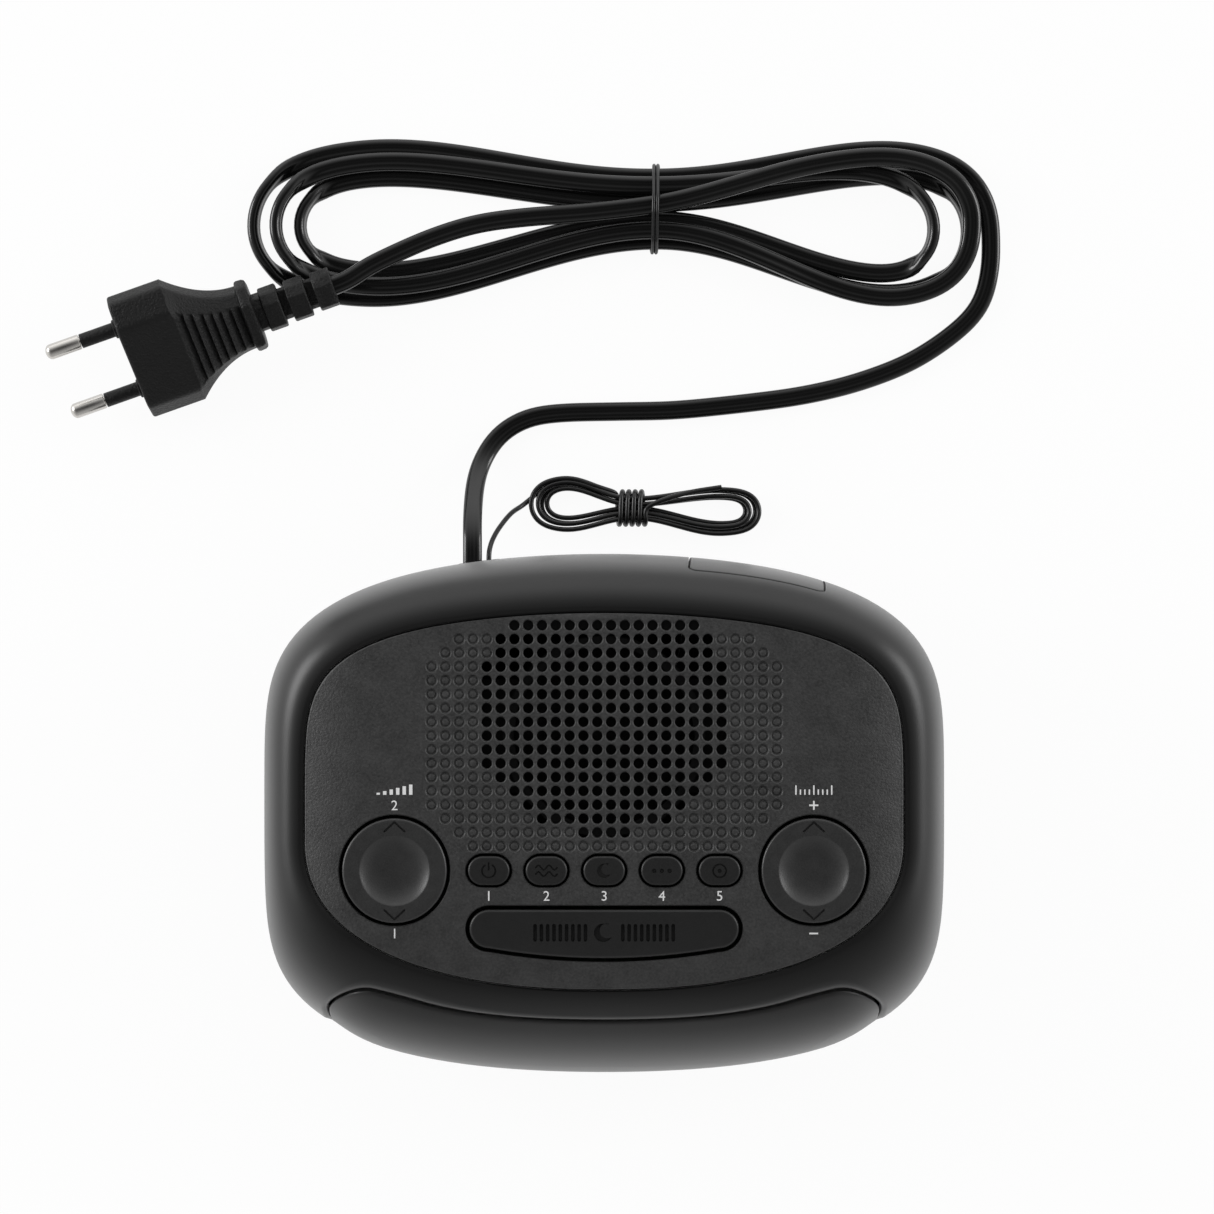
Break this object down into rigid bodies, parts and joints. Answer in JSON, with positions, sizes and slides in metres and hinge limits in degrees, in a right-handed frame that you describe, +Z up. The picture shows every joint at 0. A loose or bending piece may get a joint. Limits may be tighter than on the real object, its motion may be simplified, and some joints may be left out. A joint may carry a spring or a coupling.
{
  "type": "clock radio",
  "caption": "Mains clock radio with a raked smoked display, perforated speaker panel, rocker dials, push buttons, snooze bar, battery door, tied mains lead and wire aerial.",
  "frame": {"origin": "on the table, under the middle of the case", "axes": "+X to the right along the case, +Y to the rear, +Z up"},
  "size_m": [0.2466, 0.2388, 0.0625],
  "materials": {
    "case_plastic": "fine satin",
    "panel_plastic": "grained",
    "key_plastic": "satin",
    "lens": "smoked, satin",
    "rubber": "matte",
    "steel": "zinc plated",
    "pin_metal": "nickel plated",
    "board": "laminate",
    "switch_plastic": "plain",
    "display_face": "plain",
    "paper": "felted",
    "ferrite": "sintered",
    "copper": "varnished",
    "jacket": "plain",
    "pvc": "glossy cord covering"
  },
  "bodies": {
    "case": {"upper_housing": "case_plastic", "base_cover": "case_plastic", "control_panel": "panel_plastic", "display_lens": "lens", "battery_bay": "key_plastic", "backup_battery": "jacket", "battery_snap": "pvc", "key_board": "board", "main_board": "board", "display_board": "board", "display_module": "display_face", "transformer_core": "steel", "transformer_winding": "copper", "speaker_basket": "steel", "speaker_magnet": "ferrite", "speaker_clamp": "steel", "ferrite_rod": "ferrite", "ferrite_coil": "copper", "lead_bush": "rubber", "mains_lead": "pvc", "mains_hank": "pvc", "mains_tail": "pvc", "cord_tie": "steel", "plug_body": "pvc", "plug_pin_upper": "pin_metal", "plug_pin_lower": "pin_metal", "plug_sleeve_upper": "pvc", "plug_sleeve_lower": "pvc", "aerial_wire": "pvc", "aerial_hank": "pvc", "aerial_wrap": "pvc", "switch_power": "switch_plastic", "switch_band": "switch_plastic", "switch_sleep": "switch_plastic", "switch_memory": "switch_plastic", "switch_set": "switch_plastic", "switch_volume_up": "switch_plastic", "switch_volume_down": "switch_plastic", "switch_tuning_up": "switch_plastic", "switch_tuning_down": "switch_plastic", "switch_snooze": "switch_plastic", "foot_rear_right": "rubber", "case_screw_rear_right": "steel", "foot_rear_left": "rubber", "case_screw_rear_left": "steel", "foot_front_left": "rubber", "case_screw_front_left": "steel", "foot_front_right": "rubber", "case_screw_front_right": "steel"},
    "volume_rocker": {"volume_rocker": "key_plastic"},
    "tuning_rocker": {"tuning_rocker": "key_plastic"},
    "snooze_bar": {"snooze_bar": "key_plastic"},
    "battery_door": {"battery_door": "case_plastic"},
    "speaker_cone": {"speaker_cone": "paper"},
    "power_button": {"power_button": "key_plastic"},
    "band_button": {"band_button": "key_plastic"},
    "sleep_button": {"sleep_button": "key_plastic"},
    "memory_button": {"memory_button": "key_plastic"},
    "set_button": {"set_button": "key_plastic"}
  },
  "joints": [
    {"name": "volume_rock", "type": "hinge", "parent": "case", "child": "volume_rocker", "pos_m": [-0.0516, -0.0122, 0.0571], "axis": [1, 0, 0], "range_deg": [-3, 3], "stiffness_Nm_per_rad": 0.1},
    {"name": "tuning_rock", "type": "hinge", "parent": "case", "child": "tuning_rocker", "pos_m": [0.0516, -0.0122, 0.0571], "axis": [1, 0, 0], "range_deg": [-3, 3], "stiffness_Nm_per_rad": 0.1},
    {"name": "power_press", "type": "slide", "parent": "case", "child": "power_button", "axis": [0, 0, -1], "range_m": [0, 0.0008], "stiffness_N_per_m": 200},
    {"name": "band_press", "type": "slide", "parent": "case", "child": "band_button", "axis": [0, 0, -1], "range_m": [0, 0.0008], "stiffness_N_per_m": 200},
    {"name": "sleep_press", "type": "slide", "parent": "case", "child": "sleep_button", "axis": [0, 0, -1], "range_m": [0, 0.0008], "stiffness_N_per_m": 200},
    {"name": "memory_press", "type": "slide", "parent": "case", "child": "memory_button", "axis": [0, 0, -1], "range_m": [0, 0.0008], "stiffness_N_per_m": 200},
    {"name": "set_press", "type": "slide", "parent": "case", "child": "set_button", "axis": [0, 0, -1], "range_m": [0, 0.0008], "stiffness_N_per_m": 200},
    {"name": "snooze_press", "type": "slide", "parent": "case", "child": "snooze_bar", "axis": [0, 0, -1], "range_m": [0, 0.0012], "stiffness_N_per_m": 300},
    {"name": "battery_door_swing", "type": "hinge", "parent": "case", "child": "battery_door", "pos_m": [0.03852, 0.06236, 0.015], "axis": [-0.9826, 0.1857, 0], "range_deg": [0, 70]},
    {"name": "cone_travel", "type": "slide", "parent": "case", "child": "speaker_cone", "axis": [0, 0, 1], "range_m": [-0.0005, 0.0005], "stiffness_N_per_m": 1500}
  ]
}
